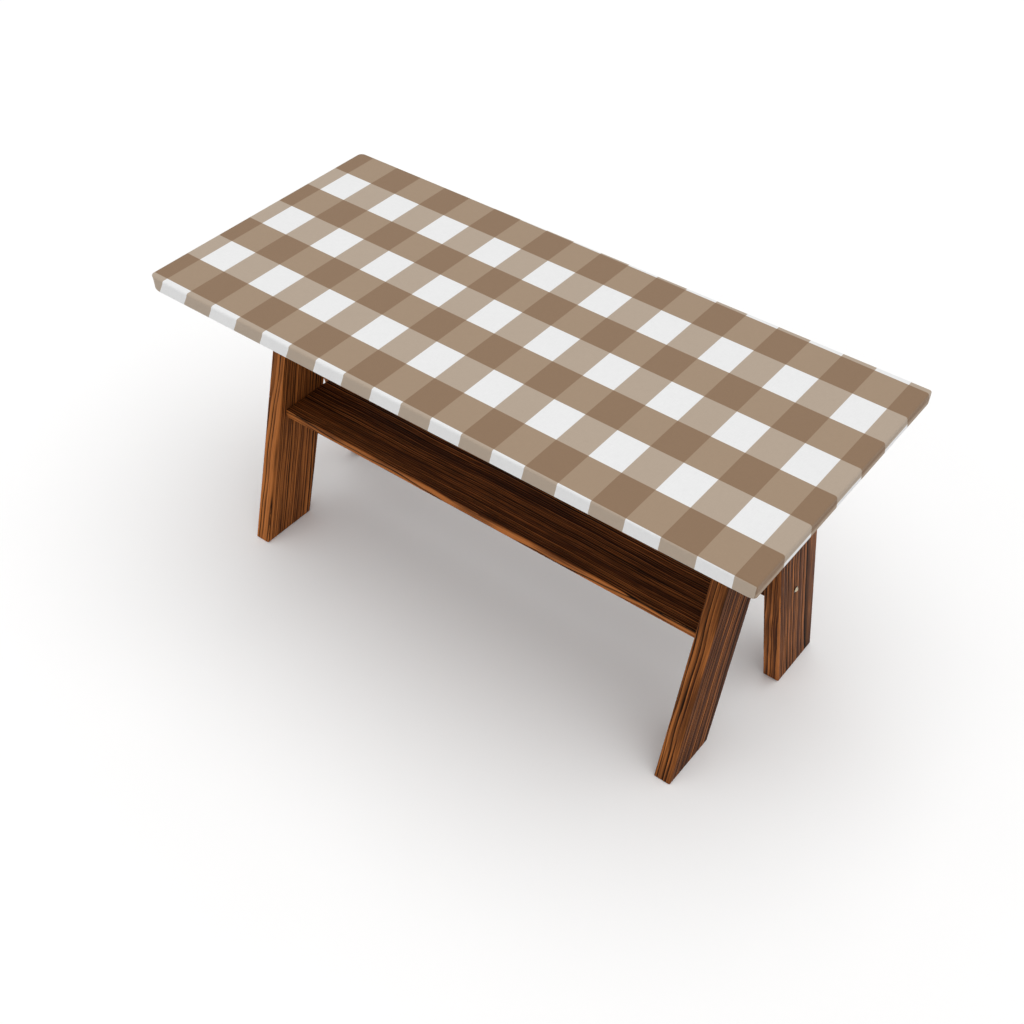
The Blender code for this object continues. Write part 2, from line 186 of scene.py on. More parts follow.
class CoverLook(bpy.types.PropertyGroup):
    """Sizes and colours of the fitted cloth."""

    arris: bpy.props.FloatProperty(
        name="Top edge", description="Radius of the roll over the edge of the top",
        default=0.0055, min=0.003, max=0.012, unit="LENGTH")
    roll: bpy.props.FloatProperty(
        name="Bottom roll", description="Radius of the roll under the boards",
        default=0.0065, min=0.004, max=0.014, unit="LENGTH")
    thickness: bpy.props.FloatProperty(
        name="Cloth", description="Thickness of the woven cloth",
        default=0.0008, min=0.0003, max=0.0015, unit="LENGTH")
    pucker_count: bpy.props.IntProperty(
        name="Puckers", description="Puckers all the way round the gathered hem",
        default=236, min=60, max=400)
    pucker_depth: bpy.props.FloatProperty(
        name="Pucker depth", description="How far a pucker hangs below the hem",
        default=0.0032, min=0.0, max=0.006, unit="LENGTH")
    check_length: bpy.props.FloatProperty(
        name="Check along", description="Width of one stripe along the table",
        default=0.0743, min=0.02, max=0.2, unit="LENGTH")
    check_width: bpy.props.FloatProperty(
        name="Check across", description="Width of one stripe across the table",
        default=0.0948, min=0.02, max=0.2, unit="LENGTH")
    row_skew: bpy.props.FloatProperty(
        name="Row skew", description="How far the rows run off the table's line, per metre",
        default=0.00965, min=-0.05, max=0.05)
    crossed: bpy.props.FloatVectorProperty(
        name="Crossed stripes", description="Where two brown stripes cross",
        default=(0.253, 0.160, 0.094), size=3, min=0, max=1, subtype="COLOR")
    brown: bpy.props.FloatVectorProperty(
        name="Rows", description="Brown row over a white column",
        default=(0.347, 0.249, 0.167), size=3, min=0, max=1, subtype="COLOR")
    taupe: bpy.props.FloatVectorProperty(
        name="Columns", description="Brown column over a white row",
        default=(0.432, 0.347, 0.269), size=3, min=0, max=1, subtype="COLOR")
    white: bpy.props.FloatVectorProperty(
        name="Ground", description="Undyed cloth",
        default=(0.80, 0.80, 0.80), size=3, min=0, max=1, subtype="COLOR")


class TimberLook(bpy.types.PropertyGroup):
    """Sizes and colours of the charred, brushed pine."""

    ring: bpy.props.FloatProperty(
        name="Ring width", description="Distance from one growth ring to the next",
        default=0.0050, min=0.002, max=0.02, unit="LENGTH")
    relief: bpy.props.FloatProperty(
        name="Brushed relief", description="Depth of the brushed grain",
        default=0.00030, min=0.0, max=0.0015, unit="LENGTH")
    ease: bpy.props.FloatProperty(
        name="Eased edges", description="Radius of the worn edges",
        default=0.003, min=0.001, max=0.006, unit="LENGTH")
    char: bpy.props.FloatVectorProperty(
        name="Char", description="Burnt grain lines",
        default=(0.0055, 0.0026, 0.0012), size=3, min=0, max=1, subtype="COLOR")
    brown: bpy.props.FloatVectorProperty(
        name="Brown", description="Body of the charred timber",
        default=(0.100, 0.0275, 0.0065), size=3, min=0, max=1, subtype="COLOR")
    amber: bpy.props.FloatVectorProperty(
        name="Amber", description="Brushed early wood and worn edges",
        default=(0.53, 0.176, 0.042), size=3, min=0, max=1, subtype="COLOR")


class Signal:
    """One output socket whose operators add the nodes that work the value out."""

    def __init__(self, finish, socket):
        self.finish = finish
        self.socket = socket

    def _math(self, operation, *others, swap=False):
        values = [self, *others]
        if swap:
            values.reverse()
        inputs = dict(enumerate(values))
        return self.finish.signal("ShaderNodeMath", {"operation": operation}, inputs)

    def __add__(self, other):
        return self._math("ADD", other)

    def __radd__(self, other):
        return self._math("ADD", other, swap=True)

    def __sub__(self, other):
        return self._math("SUBTRACT", other)

    def __rsub__(self, other):
        return self._math("SUBTRACT", other, swap=True)

    def __mul__(self, other):
        return self._math("MULTIPLY", other)

    def __rmul__(self, other):
        return self._math("MULTIPLY", other, swap=True)

    def __abs__(self):
        return self._math("ABSOLUTE")

    def root(self):
        """Square root."""
        return self._math("SQRT")

    def sine(self):
        """Sine of an angle in radians."""
        return self._math("SINE")

    def part(self):
        """What is left of the value above its whole number."""
        return self._math("FRACT")

    def whole(self):
        """The whole number at or below the value."""
        return self._math("FLOOR")

    def power(self, exponent):
        """The value raised to a power."""
        return self._math("POWER", exponent)

    def clamped(self):
        """The value held between 0 and 1."""
        settings = {"operation": "ADD", "use_clamp": True}
        return self.finish.signal("ShaderNodeMath", settings, {0: self, 1: 0.0})

    def between(self, low, high):
        """0 at or below low, 1 at or above high, a straight line between."""
        return ((self - low) * (1.0 / (high - low))).clamped()


class Finish:
    """A procedural material and the nodes that make it up."""

    def __init__(self, name, **constants):
        self.material = bpy.data.materials.new(name)
        self.material.use_nodes = True
        self.tree = self.material.node_tree
        self.shader = self.tree.nodes["Principled BSDF"]
        for socket, value in constants.items():
            self.shader.inputs[socket.replace("_", " ")].default_value = value

    def node(self, kind, settings, inputs):
        """Add one node, set it up, then give its sockets values or links."""
        made = self.tree.nodes.new(kind)
        for key, value in settings.items():
            setattr(made, key, value)
        for socket, value in inputs.items():
            if isinstance(value, Signal):
                self.tree.links.new(value.socket, made.inputs[socket])
            else:
                made.inputs[socket].default_value = value
        return made

    def signal(self, kind, settings, inputs, output=0):
        """Add one node and return one of its outputs."""
        return Signal(self, self.node(kind, settings, inputs).outputs[output])

    def axes(self, vector):
        """The three parts of a vector."""
        split = self.node("ShaderNodeSeparateXYZ", {}, {0: vector})
        return [Signal(self, socket) for socket in split.outputs]

    def vector(self, x, y, z):
        """A vector from three values."""
        return self.signal("ShaderNodeCombineXYZ", {}, {0: x, 1: y, 2: z})

    def place(self):
        """The point's place on the object, in metres."""
        return self.signal("ShaderNodeTexCoord", {}, {}, "Object")

    def noise(self, vector, scale, detail=3.0, roughness=0.55):
        """Soft noise round 0.5."""
        inputs = {"Vector": vector, "Scale": scale, "Detail": detail, "Roughness": roughness}
        return self.signal("ShaderNodeTexNoise", {}, inputs)

    def random(self, value):
        """An unpatterned number from 0 to 1 for each whole number."""
        return self.signal("ShaderNodeTexWhiteNoise", {"noise_dimensions": "1D"}, {"W": value})

    def mixed(self, factor, first, second, blend="MIX"):
        """One colour laid over another by a factor."""
        settings = {"data_type": "RGBA", "blend_type": blend}
        first, second = (c if isinstance(c, Signal) else (*c, 1.0) for c in (first, second))
        return self.signal("ShaderNodeMix", settings, {0: factor, 6: first, 7: second}, 2)

    def finish(self, colour, roughness, height, distance, strength=1.0):
        """Link the colour, the roughness and the bump to the shader."""
        inputs = {"Height": height, "Distance": distance, "Strength": strength}
        bump = self.signal("ShaderNodeBump", {}, inputs)
        links = {"Base Color": colour, "Roughness": roughness, "Normal": bump}
        for socket, value in links.items():
            self.tree.links.new(value.socket, self.shader.inputs[socket])
        return self.material


def make_piece(name, points, faces, material, uv=None, values=None, smooth=True):
    """A mesh object from points (n, 3) and a list of faces, at the origin."""
    mesh = bpy.data.meshes.new(name)
    mesh.from_pydata(np.asarray(points, float).tolist(), [], faces)
    if uv is not None:
        layer = mesh.uv_layers.new(name="flat_cloth")
        layer.data.foreach_set("uv", np.asarray(uv, np.float32).ravel())
    if values is not None:
        layer = mesh.attributes.new("wear_and_light", "FLOAT", "POINT")
        layer.data.foreach_set("value", np.asarray(values, np.float32).ravel())
    mesh.polygons.foreach_set("use_smooth", np.full(len(mesh.polygons), smooth))
    mesh.materials.append(material)
    mesh.update()
    made = bpy.data.objects.new(name, mesh)
    bpy.context.scene.collection.objects.link(made)
    return made


def cells(grid):
    """The corner values of every cell of a grid, in the order that faces outwards.

    Columns run along the surface and rows run from the inside of the shape to its rim.
    """
    corners = (grid[:-1, :-1], grid[1:, :-1], grid[1:, 1:], grid[:-1, 1:])
    stacked = np.stack(corners, axis=2)
    return stacked.reshape(-1, 4, *grid.shape[2:])


def eased_step(value):
    """0 at or below 0, 1 at or above 1, and smooth between."""
    held = np.clip(value, 0.0, 1.0)
    return held * held * (3 - 2 * held)


def edge_lines(reach, fine, step):
    """Grid lines from -reach to reach, close together at both ends."""
    inner = reach - fine[-1]
    count = max(2, int(round(2 * inner / step)))
    middle = np.linspace(-inner, inner, count + 1)[1:-1]
    return np.concatenate([-reach + fine, middle, (reach - fine)[::-1]])


def side_lines(side, x_lines, y_lines):
    """Places along one side, in the side's own direction."""
    lines = x_lines if side in (0, 2) else y_lines
    return lines if side < 2 else -lines[::-1]


def by_hand(side, places, left, right):
    """For every place along a side, the left value or the right value of the cover."""
    along, outward = SIDES[side]
    at_right = along[0] * places + outward[0] > 0
    return np.where(at_right, right, left)


def wrap_side(side, places, corner, inset, height, radius, push):
    """Points of every ring down one side of the cover, and their places and reach.

    A place short of the corner keeps its share of the straight part. Past that it turns
    through an angle whose tangent is how far it is into the corner, up to 45 degrees:
    point = core + radius * (sin turn, cos turn), core = half size - inset - radius.
    """
    along, outward = (np.array(way, float) for way in SIDES[side])
    half_along, half_out = (HALF_X, HALF_Y) if side in (0, 2) else (HALF_Y, HALF_X)
    reach = np.abs(places).max()
    into = np.maximum(np.abs(places) - (reach - corner), 0.0)
    turn = np.arctan2(into, corner)
    share = np.minimum(np.abs(places) / (reach - corner), 1.0)
    core = half_along - inset - radius
    tangent = np.sign(places) * (core * share + (radius - push) * np.sin(turn))
    out = half_out - inset - radius + (radius - push) * np.cos(turn)
    points = np.empty((*tangent.shape, 3))
    points[..., :2] = tangent[..., None] * along + out[..., None] * outward
    points[..., 2] = height
    return points, tangent, out


def cover_profile(look):
    """The cover's section from the flat top outwards and down: inset, height, length so far.

    A quarter round over the edge, a straight drop, a quarter round under the boards,
    and a short lap on the hem.
    """
    bottom = BOARD_UNDERSIDE - CLOTH_BELOW
    arris = np.linspace(0, math.pi / 2, ARRIS_RINGS + 1)
    roll = np.linspace(0, math.pi / 2, ROLL_RINGS + 1)[1:]
    low = bottom + look.roll
    high = TOP_Z - look.arris
    drop = np.linspace(high, low, DROP_RINGS + 1)[1:]
    inset = np.concatenate([
        look.arris - (look.arris - DROP_INSET) * np.sin(arris), np.full(DROP_RINGS, DROP_INSET),
        DROP_INSET + look.roll * (1 - np.cos(roll)), [LAP_END, LAP_END + 0.0004]])
    height = np.concatenate([
        TOP_Z - look.arris * (1 - np.cos(arris)), drop, low - look.roll * np.sin(roll),
        [bottom, bottom + 0.0003]])
    steps = np.hypot(np.diff(inset), np.diff(height))
    return inset, height, np.concatenate([[0.0], np.cumsum(steps)])


def cover_radii(look, inset, height, hand):
    """The plan radius of each ring's corners, from the flat top to the lap."""
    high = TOP_Z - look.arris
    low = BOARD_UNDERSIDE - CLOTH_BELOW + look.roll
    over = eased_step((TOP_Z - height) / look.arris)
    down = np.clip((high - height) / (high - low), 0, 1)
    under = np.clip((low - height) / look.roll, 0, 1) ** 2
    radius = FLAT_CORNER[hand] + (DROP_CORNER[hand] - FLAT_CORNER[hand]) * over
    radius = radius + (ROLL_CORNER[hand] - DROP_CORNER[hand]) * down
    return radius + (LAP_CORNER + 0.0015 - ROLL_CORNER[hand]) * under


def corner_shape(look, side, places, inset, height):
    """How far the flat top's corner reaches along a side, and every ring's plan radius."""
    corner = by_hand(side, places, FLAT_CORNER["left"], FLAT_CORNER["right"])
    left, right = (cover_radii(look, inset, height, hand)[:, None] for hand in ("left", "right"))
    return corner, by_hand(side, places, left, right)


def drop_folds(look, side, places, length):
    """How far the drop stands in from its plain section.

    The cloth is hollow between its two rolls, or full at the ends, sways a little along the
    side, has fine creases along both ends of the table, is drawn in under the left corners,
    and is nipped in where a corner is sewn.
    """
    reach = np.abs(places).max()
    roll_start = length[ARRIS_RINGS + DROP_RINGS]
    arris_end = length[ARRIS_RINGS]
    share = (length[:, None] - arris_end) / (roll_start - arris_end)
    held = np.clip(share, 0, 1)
    away = eased_step((reach - np.abs(places)) / 0.045)
    hollow = -0.0004 if side in (RIGHT_SIDE, LEFT_SIDE) else 0.0003
    push = hollow * np.sin(math.pi * held) * (0.7 + 0.3 * away)
    sway = np.sin(TURN * places / 0.217 + 1.3 * side) + 0.6 * np.sin(TURN * places / 0.083 + side)
    push = push + 0.00016 * sway * away * np.sin(math.pi * held) ** 0.5
    if side in (RIGHT_SIDE, LEFT_SIDE):
        for centre, width, depth, wave in END_CREASES:
            bent = centre + 0.018 * np.sin(TURN * places / wave + 9 * centre)
            swell = 0.78 + 0.22 * np.sin(TURN * places / (1.7 * wave) + 5 * centre)
            push = push + depth * swell * away * np.exp(-((share - bent) / width) ** 2)
    corner_share = eased_step(1 - (reach - np.abs(places)) / 0.02)
    drawn = by_hand(side, places, corner_share, 0.0)
    push = push + 0.0012 * drawn * np.clip((share - 0.98) / 0.3, 0, 1)
    nipped = by_hand(side, places, 0.0002, 0.0006) * np.isclose(np.abs(places), reach)
    return push + nipped * eased_step(length[:, None] / arris_end - 0.4)


def hem_pull(side, places):
    """How far along its side the hem pulls the cloth: it changes evenly from end to end."""
    first, last = DROP_SKEW[side]
    return first + (last - first) * (1 + places / np.abs(places).max()) / 2


def pulled_along(side, places, length):
    """How far along its side the cloth is pulled at each point: it grows evenly down the drop."""
    start, stop = length[ARRIS_RINGS], length[ARRIS_RINGS + DROP_RINGS]
    return hem_pull(side, places) * np.clip((length[:, None] - start) / (stop - start), 0, 1)


def taken_up(side, length):
    """How much cloth lies between the flat top's edge and each ring.

    It is the length of the section, and at the ends also what the creases take up.
    """
    if side not in (RIGHT_SIDE, LEFT_SIDE):
        return length
    start, stop = length[ARRIS_RINGS], length[ARRIS_RINGS + DROP_RINGS]
    return length + END_TUCK * eased_step((length - start) / (0.45 * (stop - start)))


def flat_top(x_lines, y_lines):
    """The flat top as a grid whose four corners are drawn in to a round.

    A point in a corner square is pulled towards the square's inner corner by
    1 - (1 - cos turn) * (its share of the square) squared, which makes the rim a circle.
    """
    x, y = np.meshgrid(x_lines, y_lines)
    reach_x, reach_y = x_lines[-1], y_lines[-1]
    corner = np.where(x > 0, FLAT_CORNER["right"], FLAT_CORNER["left"])
    into_x = np.maximum(np.abs(x) - (reach_x - corner), 0)
    into_y = np.maximum(np.abs(y) - (reach_y - corner), 0)
    most = np.maximum(np.maximum(into_x, into_y), 1e-9)
    least = np.minimum(into_x, into_y)
    pull = 1 - (1 - 1 / np.sqrt(1 + (least / most) ** 2)) * (most / corner) ** 2
    x = np.sign(x) * (np.abs(x) - into_x * (1 - pull))
    y = np.sign(y) * (np.abs(y) - into_y * (1 - pull))
    inner = eased_step((reach_x - np.abs(x)) / 0.03) * eased_step((reach_y - np.abs(y)) / 0.03)
    slack = np.sin(TURN * x / 0.61 + 0.4) * np.sin(TURN * y / 0.47 + 1.1)
    slack = slack + 0.5 * np.sin(TURN * (x + 0.7 * y) / 0.29)
    return np.stack([x, y, TOP_Z - 0.00008 * inner * (1.5 + slack)], axis=-1)


def checked_finish(look, name="checked_weave"):
    """Woven check: two square waves in the flat cloth's own metres, over a plain weave."""
    made = Finish(name, Specular_IOR_Level=0.25, Sheen_Weight=0.12, Sheen_Roughness=0.5)
    flat = made.signal("ShaderNodeUVMap", {"uv_map": "flat_cloth"}, {})
    u, v, _ = made.axes(flat)
    thread = made.noise(flat, 1900.0, 1.0) - 0.5
    stray = thread * 0.0003
    row_place = v + u * look.row_skew - 0.0003 + stray
    column_place = u + stray

    def stripe(place, width, start):
        """1 on a dyed stripe, whose middle is at start, and 0 between, with a soft edge."""
        wave = abs(((place - start) * (0.5 / width)).part() - 0.5)
        return ((wave - 0.25) * (2 * width / STRIPE_EDGE) + 0.5).clamped()

    first = FIRST_COLUMN_END - 0.5 * look.check_length
    columns = stripe(column_place, look.check_length, first)
    rows = stripe(row_place, look.check_width, -3.0 * look.check_width)
    plain = made.mixed(rows, look.white, look.brown)
    dyed = made.mixed(rows, look.taupe, look.crossed)
    colour = made.mixed(columns, plain, dyed)
    weave_u = (u * (TURN / WARP_PITCH)).sine()
    weave_v = (v * (TURN / WEFT_PITCH)).sine()
    over = weave_u * weave_v
    slub = made.noise(made.vector(u * 60.0, v * 900.0, 0.0), 1.0, 2.0)
    slub = slub + made.noise(made.vector(u * 900.0, v * 60.0, 3.0), 1.0, 2.0)
    shade = 1.0 + over * 0.025 + (slub - 1.0) * 0.10
    cloud = made.noise(flat, 5.0, 2.0)
    shade = shade + (cloud - 0.5) * 0.03
    tint = made.signal("ShaderNodeCombineColor", {}, {0: shade, 1: shade, 2: shade})
    colour = made.mixed(1.0, colour, tint, "MULTIPLY")
    height = over * 0.5 + (slub - 1.0) * 1.2
    roughness = 0.80 + (slub - 1.0) * 0.12
    return made.finish(colour, roughness, height, 0.00022, 0.55)


def thread_finish(name, colour, pitch):
    """Twisted thread or ribbed elastic: fine ridges with a little colour variation."""
    made = Finish(name, Specular_IOR_Level=0.3, Sheen_Weight=0.1)
    x, y, z = made.axes(made.place())
    ridge = ((x + y + z * 0.8) * (TURN / pitch)).sine()
    speck = made.noise(made.place(), 700.0, 2.0)
    shaded = made.mixed(speck * 0.5 + ridge * 0.12 + 0.1, colour, [0.62 * c for c in colour])
    return made.finish(shaded, 0.75 + speck * 0.15, ridge + speck, 0.00015, 0.5)


class TABLE_OT_cloth(bpy.types.Operator):
    """Build the checked panel of the fitted cloth, from the flat top to its lap on the hem"""

    bl_idname = "table.cloth"
    bl_label = "Checked cloth"

    def execute(self, context):
        look = context.scene.cover_look
        reach_x, reach_y = HALF_X - look.arris, HALF_Y - look.arris
        x_lines = edge_lines(reach_x, CORNER_LINES, TOP_STEP)
        y_lines = edge_lines(reach_y, CORNER_LINES, TOP_STEP)
        top = flat_top(x_lines, y_lines)
        numbers = np.arange(x_lines.size * y_lines.size).reshape(y_lines.size, x_lines.size)
        rims = (numbers[0], numbers[:, -1], numbers[-1, ::-1], numbers[::-1, 0])
        inset, height, length = cover_profile(look)
        around = sum(rim.size - 1 for rim in rims)
        faces = [cells(numbers[::-1])]
        uv = [cells(top[::-1, :, :2])]
        rings = []
        start = 0
        for side, rim in enumerate(rims):
            places = side_lines(side, x_lines, y_lines)
            corner, radius = corner_shape(look, side, places, inset, height)
            push = drop_folds(look, side, places, length)
            points, tangent, out = wrap_side(side, places, corner, inset[:, None],
                                             height[:, None], radius, push)
            rings.append(points[1:, :-1])
            columns = (start + np.arange(rim.size)) % around
            below = numbers.size + columns + around * np.arange(inset.size - 1)[:, None]
            faces.append(cells(np.vstack([rim, below])))
            along, outward = (np.array(way, float) for way in SIDES[side])
            far = out[0] + taken_up(side, length)[:, None]
            pulled = tangent + pulled_along(side, places, length)
            uv.append(cells(pulled[..., None] * along + far[..., None] * outward))
            start += rim.size - 1
        points = np.concatenate([top.reshape(-1, 3), np.concatenate(rings, axis=1).reshape(-1, 3)])
        faces, uv = np.concatenate(faces), np.concatenate(uv)
        cloth = make_piece("checked_cloth", points, faces.tolist(), checked_finish(look), uv)
        wall = cloth.modifiers.new("cloth", "SOLIDIFY")
        wall.thickness = look.thickness
        wall.offset = -1.0
        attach(cloth, "cover")
        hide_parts("cover_panel")
        width = 2 * (reach_x + length[-1] + END_TUCK)
        depth = 2 * (reach_y + length[-1])
        width * depth - 4 * length[-1] ** 2
        return {"FINISHED"}


def seam_paths(look):
    """The line of each corner's seam, from just below the flat top to the bottom roll."""
    x_lines = np.array([-1, 1]) * (HALF_X - look.arris)
    y_lines = np.array([-1, 1]) * (HALF_Y - look.arris)
    inset, height, length = cover_profile(look)
    inset, height, length = inset[2:-4], height[2:-4], length[2:-4]
    paths = []
    for side in range(len(SIDES)):
        places = side_lines(side, x_lines, y_lines)
        corner, radius = corner_shape(look, side, places, inset, height)
        points, _, _ = wrap_side(side, places, corner, inset[:, None], height[:, None],
                                 radius, SEAM_INSET)
        paths.append(points[:, 1])
    return paths


def swept(path, across, up, radii, sides):
    """A closed tube: a ring of points round each point of a path, with flat ends.

    Ring point = path + radius * (cos angle * across + sin angle * up).
    """
    angle = np.linspace(0, TURN, sides, endpoint=False)
    turned = np.cos(angle)[:, None] * across[:, None] + np.sin(angle)[:, None] * up[:, None]
    points = path[:, None] + radii[:, None, None] * turned
    numbers = np.arange(points.shape[0] * sides).reshape(-1, sides)
    closed = np.concatenate([numbers, numbers[:, :1]], axis=1)
    return points.reshape(-1, 3), cells(closed), numbers[0, ::-1], numbers[-1]


class TABLE_OT_seams(bpy.types.Operator):
    """Build the sewn seam at each corner of the drop"""

    bl_idname = "table.seams"
    bl_label = "Corner seams"

    def execute(self, context):
        look = context.scene.cover_look
        points, faces, count = [], [], 0
        for path in seam_paths(look):
            way = np.gradient(path, axis=0)
            way /= np.linalg.norm(way, axis=1, keepdims=True)
            level = np.cross(way, (0.0, 0.0, 1.0))
            flat = np.array([-path[0][1], path[0][0], 0.0])
            level = np.where(np.linalg.norm(level, axis=1, keepdims=True) > 0.05, level, flat)
            level /= np.linalg.norm(level, axis=1, keepdims=True)
            up = np.cross(level, way)
            share = np.linspace(0, 1, len(path))
            radii = SEAM_RADIUS * np.sqrt(np.clip(np.sin(math.pi * (0.04 + 0.92 * share)), 0, 1))
            ring, quads, first, last = swept(path, level, up, radii, 8)
            faces += [[*(corner + count for corner in face)] for face in quads.tolist()]
            faces += [(first + count).tolist(), (last + count).tolist()]
            points.append(ring)
            count += len(ring)
        finish = thread_finish("seam_thread", (0.20, 0.145, 0.10), 0.0012)
        seams = make_piece("corner_seams", np.concatenate(points), faces, finish)
        set_outward(seams)
        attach(seams, "cover")
        return {"FINISHED"}


def set_outward(made):
    """Turn every face of a closed piece outwards."""
    shape = bmesh.new()
    shape.from_mesh(made.data)
    bmesh.ops.recalc_face_normals(shape, faces=shape.faces)
    shape.to_mesh(made.data)
    shape.free()


def hem_reach():
    """Half the length and width that the hem's lines cover."""
    return HALF_X - LAP_INSET, HALF_Y - LAP_INSET


def pucker(look, side, places, inset):
    """How far the gathered hem hangs down: a wave round the hem that grows inwards.

    Depth * (1 - cos(count * place round the hem + slow drift)) / 2, times an uneven size.
    """
    reach_x, reach_y = hem_reach()
    whole = 4 * (reach_x + reach_y)
    before = (0, 2 * reach_x, 2 * (reach_x + reach_y), 4 * reach_x + 2 * reach_y)[side]
    reach = reach_x if side in (0, 2) else reach_y
    angle = TURN * (before + reach + places) / whole
    phase = look.pucker_count * angle + 1.6 * np.sin(17 * angle) + 1.1 * np.sin(41 * angle + 2)
    size = 0.68 + 0.20 * np.sin(29 * angle + 1) + 0.12 * np.sin(63 * angle)
    grown = eased_step((inset - 0.013) / 0.030)
    return look.pucker_depth * grown * size * (1 - np.cos(phase)) / 2


def hem_rings(look, lines, inset, below):
    """Points of every ring of something that follows the gathered hem, side by side."""
    sides = []
    radius = LAP_CORNER + (HEM_CORNER - LAP_CORNER) * (inset - LAP_INSET) / (HEM_REACH - LAP_INSET)
    for side in range(len(SIDES)):
        places = side_lines(side, *lines)
        hang = BOARD_UNDERSIDE + below[:, None] - pucker(look, side, places, inset[:, None])
        full = np.broadcast_to(radius[:, None], hang.shape)
        sides.append(wrap_side(side, places, HEM_TURN, inset[:, None], hang, full, 0.0))
    return sides


def hem_lines(step):
    """Grid lines along and across for a piece that follows the hem."""
    fine = np.linspace(0, HEM_TURN, max(3, int(round(HEM_TURN / step)) + 2))
    reach_x, reach_y = hem_reach()
    return edge_lines(reach_x, fine, step), edge_lines(reach_y, fine, step)


def closed_loop(sides):
    """The points of four sides as one loop of columns."""
    return np.concatenate([points[:, :-1] for points, _, _ in sides], axis=1)


class TABLE_OT_hem(bpy.types.Operator):
    """Build the gathered hem casing that turns under the boards"""

    bl_idname = "table.hem"
    bl_label = "Hem casing"

    def execute(self, context):
        look = context.scene.cover_look
        path = np.array(HEM_PATH)
        inset, below = path[:, 0], path[:, 1]
        sides = hem_rings(look, hem_lines(HEM_STEP), inset, below)
        loop = closed_loop(sides)
        around = loop.shape[1]
        _, _, length = cover_profile(look)
        run = length[-2] - (LAP_END - LAP_INSET)
        run = run + np.concatenate([[0], np.cumsum(np.hypot(np.diff(inset), np.diff(below)))])
        faces, uv, start = [], [], 0
        for side, (points, tangent, _) in enumerate(sides):
            columns = (start + np.arange(points.shape[1])) % around
            faces.append(cells(columns + around * np.arange(inset.size)[:, None]))
            along, outward = (np.array(way, float) for way in SIDES[side])
            half = HALF_Y if side in (0, 2) else HALF_X + END_TUCK
            far = (half - look.arris + run)[:, None, None] * outward
            pulled = tangent[0] + hem_pull(side, tangent[0])
            uv.append(cells(pulled[None, :, None] * along + far))
            start += points.shape[1] - 1
        faces, uv = np.concatenate(faces), np.concatenate(uv)
        finish = bpy.data.materials["checked_weave"]
        hem = make_piece("hem_casing_cloth", loop.reshape(-1, 3), faces.tolist(), finish, uv)
        wall = hem.modifiers.new("cloth", "SOLIDIFY")
        wall.thickness = HEM_THICKNESS
        wall.offset = -1.0
        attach(hem, "cover")
        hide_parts("hem_casing")
        return {"FINISHED"}


class TABLE_OT_elastic(bpy.types.Operator):
    """Build the flat elastic that runs in the hem, and the rows of stitching"""

    bl_idname = "table.elastic"
    bl_label = "Elastic and stitching"

    def execute(self, context):
        look = context.scene.cover_look
        self.elastic(look)
        self.stitches(look)
        return {"FINISHED"}

    def elastic(self, look):
        """A flat oval section carried round the hem, hanging with its puckers."""
        angle = np.linspace(0, TURN, ELASTIC_SIDES, endpoint=False)
        bulge = np.sign(np.sin(angle)) * np.abs(np.sin(angle)) ** 0.5
        inset = ELASTIC_INSET - ELASTIC_HALF_WIDTH * np.cos(angle)
        below = -ELASTIC_DROP + ELASTIC_HALF_THICK * bulge
        loop = closed_loop(hem_rings(look, hem_lines(ELASTIC_STEP), inset, below))
        numbers = np.arange(loop.shape[0] * loop.shape[1]).reshape(loop.shape[:2])
        closed = np.concatenate([numbers, numbers[:1]], axis=0)
        closed = np.concatenate([closed, closed[:, :1]], axis=1)
        finish = thread_finish("white_elastic", (0.70, 0.68, 0.64), 0.0016)
        band = make_piece("elastic_band", loop.reshape(-1, 3), cells(closed).tolist(), finish)
        set_outward(band)
        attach(band, "cover")
        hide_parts("hem_elastic")

    def stitches(self, look):
        """Spindles end to end along two rows: three rings of five points and two tips."""
        starts, ends = [], []
        for inset, below in STITCH_ROWS:
            loop = closed_loop(hem_rings(look, hem_lines(STITCH_STEP), np.array([inset]),
                                         np.array([below])))[0]
            step = np.roll(loop, -1, axis=0) - loop
            starts.append(loop + 0.12 * step)
            ends.append(loop + 0.74 * step)
        start, end = np.concatenate(starts), np.concatenate(ends)
        way = end - start
        side = np.cross(way, (0.0, 0.0, 1.0))
        side /= np.linalg.norm(side, axis=1, keepdims=True)
        angle = np.linspace(0, TURN, 5, endpoint=False)
        shares, radii = (0.18, 0.5, 0.82), (0.00020, 0.00026, 0.00020)
        rings = [start + way * share for share in shares]
        turned = np.cos(angle)[:, None] * side[:, None] + np.sin(angle)[:, None] * np.array([0, 0, 1])
        body = np.stack([ring[:, None] + radius * turned for ring, radius in zip(rings, radii)], axis=1)
        lift = np.array([0.0, 0.0, 0.0003])
        points = np.concatenate([body.reshape(len(start), 15, 3), (start + lift)[:, None],
                                 (end + lift)[:, None]], axis=1)
        belt = np.arange(15).reshape(3, 5)
        quads = cells(np.concatenate([belt, belt[:, :1]], axis=1))
        tips = [[15, (k + 1) % 5, k] for k in range(5)]
        tips += [[16, 10 + k, 10 + (k + 1) % 5] for k in range(5)]
        base = 17 * np.arange(len(start))[:, None, None]
        faces = (quads[None] + base).reshape(-1, 4).tolist()
        faces += (np.array(tips)[None] + base).reshape(-1, 3).tolist()
        finish = thread_finish("hem_thread", (0.46, 0.37, 0.28), 0.0009)
        stitched = make_piece("hem_stitches", points.reshape(-1, 3), faces, finish)
        set_outward(stitched)
        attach(stitched, "cover")


